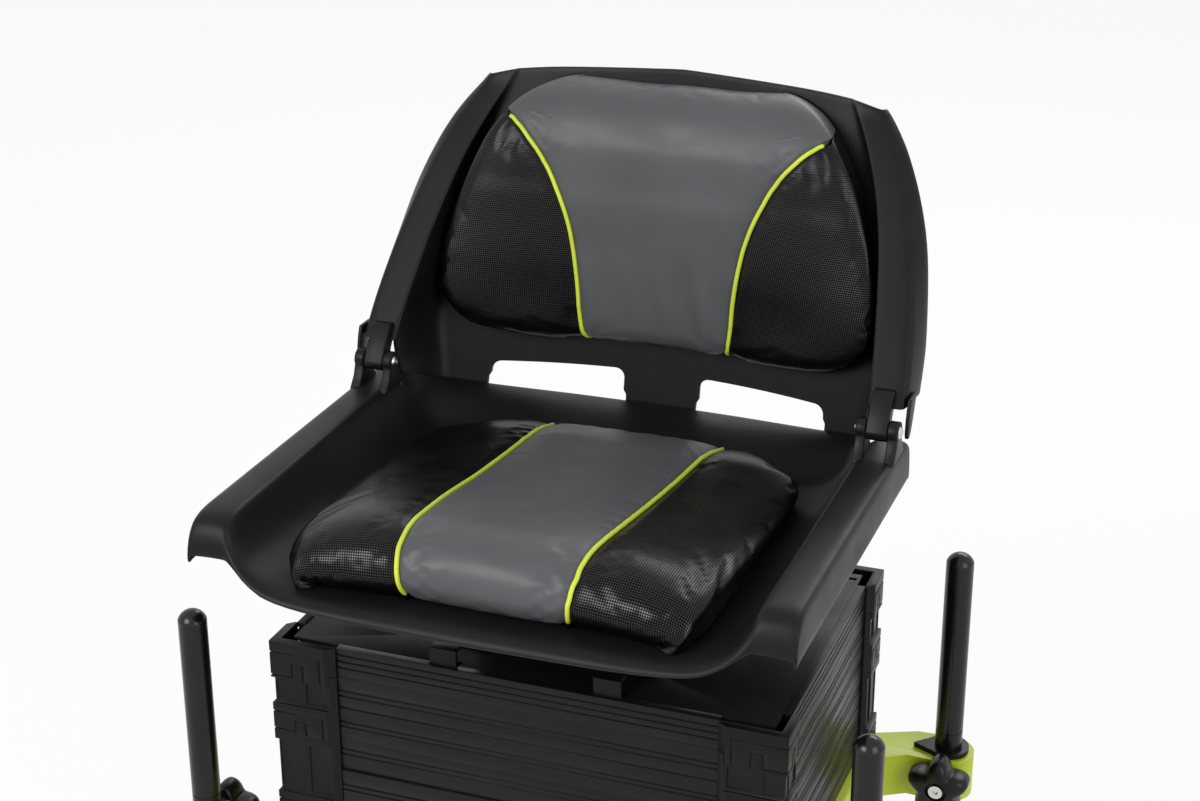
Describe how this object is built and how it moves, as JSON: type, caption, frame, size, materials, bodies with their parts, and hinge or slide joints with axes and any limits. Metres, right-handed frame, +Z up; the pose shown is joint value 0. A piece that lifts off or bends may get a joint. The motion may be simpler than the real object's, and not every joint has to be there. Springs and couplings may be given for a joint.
{
  "type": "fishing seat box",
  "caption": "Stacked fishing seat box on round clamped legs, with a drawer, a hinged lid and a padded swivel seat whose back folds down.",
  "frame": {"origin": "on the floor, under the middle of the whole outline, 5.7 mm behind the swivel axis", "axes": "+X to the right seen from the front, +Y to the rear, +Z up along the swivel axis and the legs"},
  "size_m": [0.649, 0.5094, 0.794],
  "materials": {
    "lime_powder_coat": "powder coat, semi gloss",
    "leg_black_gloss": "gloss black",
    "cap_black_plastic": "gloss black",
    "foot_rubber": "matt",
    "knob_black_plastic": "satin",
    "bright_steel": "bright",
    "bush_black_plastic": "satin",
    "box_moulding": "satin black",
    "box_extrusion": "satin black",
    "lid_sheet": "fine textured black",
    "black_pressed_steel": "satin black",
    "seat_moulding": "satin moulded black",
    "cushion_vinyl": "grey and black vinyl with lime piping"
  },
  "bodies": {
    "base": {"frame_rails": "lime_powder_coat", "frame_bolts": "bright_steel", "corner_arm_front_left": "lime_powder_coat", "corner_arm_front_right": "lime_powder_coat", "corner_arm_back_left": "lime_powder_coat", "corner_arm_back_right": "lime_powder_coat", "leg_bushes": "bush_black_plastic", "drawer_unit_corners": "box_moulding", "drawer_unit_front_rail": "box_extrusion", "drawer_unit_back_panel": "box_extrusion", "drawer_unit_side_panels": "box_extrusion", "drawer_unit_floor": "box_moulding", "tray_unit_corners": "box_moulding", "tray_unit_long_panels": "box_extrusion", "tray_unit_side_panels": "box_extrusion", "tray_floor": "box_moulding", "lid_hinge_lower_leaves": "black_pressed_steel"},
    "lid": {"lid_corners": "box_moulding", "lid_long_rails": "box_extrusion", "lid_side_rails": "box_extrusion", "lid_panel": "lid_sheet", "lid_hinge_upper_leaves": "black_pressed_steel", "lid_hinge_pins": "bright_steel", "swivel_pedestal": "black_pressed_steel", "pedestal_bolts": "bright_steel", "swivel_lower_plate": "black_pressed_steel", "swivel_balls": "bright_steel"},
    "left_catch": {"catch_left": "box_moulding"},
    "right_catch": {"catch_right": "box_moulding"},
    "seat": {"swivel_upper_plate": "black_pressed_steel", "swivel_pivot": "bright_steel", "seat_bolts": "bright_steel", "seat_shell": "seat_moulding", "seat_cushion": "cushion_vinyl", "seat_hinge_pins": "bright_steel"},
    "back": {"back_shell": "seat_moulding", "back_cushion": "cushion_vinyl"},
    "drawer": {"drawer_tray": "box_moulding", "drawer_front": "box_extrusion", "drawer_pull": "box_moulding"},
    "front_left_leg": {"leg_front_left": "leg_black_gloss", "leg_cap_front_left": "cap_black_plastic", "leg_foot_front_left": "foot_rubber"},
    "front_left_knob": {"clamp_knob_front_left": "knob_black_plastic", "clamp_stud_front_left": "bright_steel"},
    "front_right_leg": {"leg_front_right": "leg_black_gloss", "leg_cap_front_right": "cap_black_plastic", "leg_foot_front_right": "foot_rubber"},
    "front_right_knob": {"clamp_knob_front_right": "knob_black_plastic", "clamp_stud_front_right": "bright_steel"},
    "back_left_leg": {"leg_back_left": "leg_black_gloss", "leg_cap_back_left": "cap_black_plastic", "leg_foot_back_left": "foot_rubber"},
    "back_left_knob": {"clamp_knob_back_left": "knob_black_plastic", "clamp_stud_back_left": "bright_steel"},
    "back_right_leg": {"leg_back_right": "leg_black_gloss", "leg_cap_back_right": "cap_black_plastic", "leg_foot_back_right": "foot_rubber"},
    "back_right_knob": {"clamp_knob_back_right": "knob_black_plastic", "clamp_stud_back_right": "bright_steel"}
  },
  "joints": [
    {"name": "lid_hinge", "type": "hinge", "parent": "base", "child": "lid", "pos_m": [0, 0.15435, 0.338], "axis": [-1, 0, 0], "range_deg": [0, 75]},
    {"name": "left_catch_turn", "type": "hinge", "parent": "lid", "child": "left_catch", "pos_m": [-0.073, -0.14686, 0.36], "axis": [-1, 0, 0], "range_deg": [0, 8], "stiffness_Nm_per_rad": 0.2, "springref_deg": -8.59},
    {"name": "right_catch_turn", "type": "hinge", "parent": "lid", "child": "right_catch", "pos_m": [0.073, -0.14686, 0.36], "axis": [-1, 0, 0], "range_deg": [0, 8], "stiffness_Nm_per_rad": 0.2, "springref_deg": -8.59},
    {"name": "seat_swivel", "type": "hinge", "parent": "lid", "child": "seat", "pos_m": [0, -0.00566, 0.441], "axis": [0, 0, 1], "continuous": true},
    {"name": "back_fold", "type": "hinge", "parent": "seat", "child": "back", "pos_m": [0, 0.07684, 0.544], "axis": [1, 0, 0], "range_deg": [0, 120]},
    {"name": "drawer_slide", "type": "slide", "parent": "base", "child": "drawer", "axis": [0, -1, 0], "range_m": [0, 0.24]},
    {"name": "front_left_leg_slide", "type": "slide", "parent": "base", "child": "front_left_leg", "axis": [0, 0, 1], "range_m": [-0.15, 0.06]},
    {"name": "front_left_knob_turn", "type": "hinge", "parent": "base", "child": "front_left_knob", "pos_m": [-0.2965, -0.13565, 0.178], "axis": [0, -1, 0], "continuous": true},
    {"name": "front_right_leg_slide", "type": "slide", "parent": "base", "child": "front_right_leg", "axis": [0, 0, 1], "range_m": [-0.15, 0.06]},
    {"name": "front_right_knob_turn", "type": "hinge", "parent": "base", "child": "front_right_knob", "pos_m": [0.2965, -0.13565, 0.178], "axis": [0, -1, 0], "continuous": true},
    {"name": "back_left_leg_slide", "type": "slide", "parent": "base", "child": "back_left_leg", "axis": [0, 0, 1], "range_m": [-0.15, 0.06]},
    {"name": "back_left_knob_turn", "type": "hinge", "parent": "base", "child": "back_left_knob", "pos_m": [-0.2965, 0.12434, 0.178], "axis": [0, 1, 0], "continuous": true},
    {"name": "back_right_leg_slide", "type": "slide", "parent": "base", "child": "back_right_leg", "axis": [0, 0, 1], "range_m": [-0.15, 0.06]},
    {"name": "back_right_knob_turn", "type": "hinge", "parent": "base", "child": "back_right_knob", "pos_m": [0.2965, 0.12434, 0.178], "axis": [0, 1, 0], "continuous": true}
  ]
}
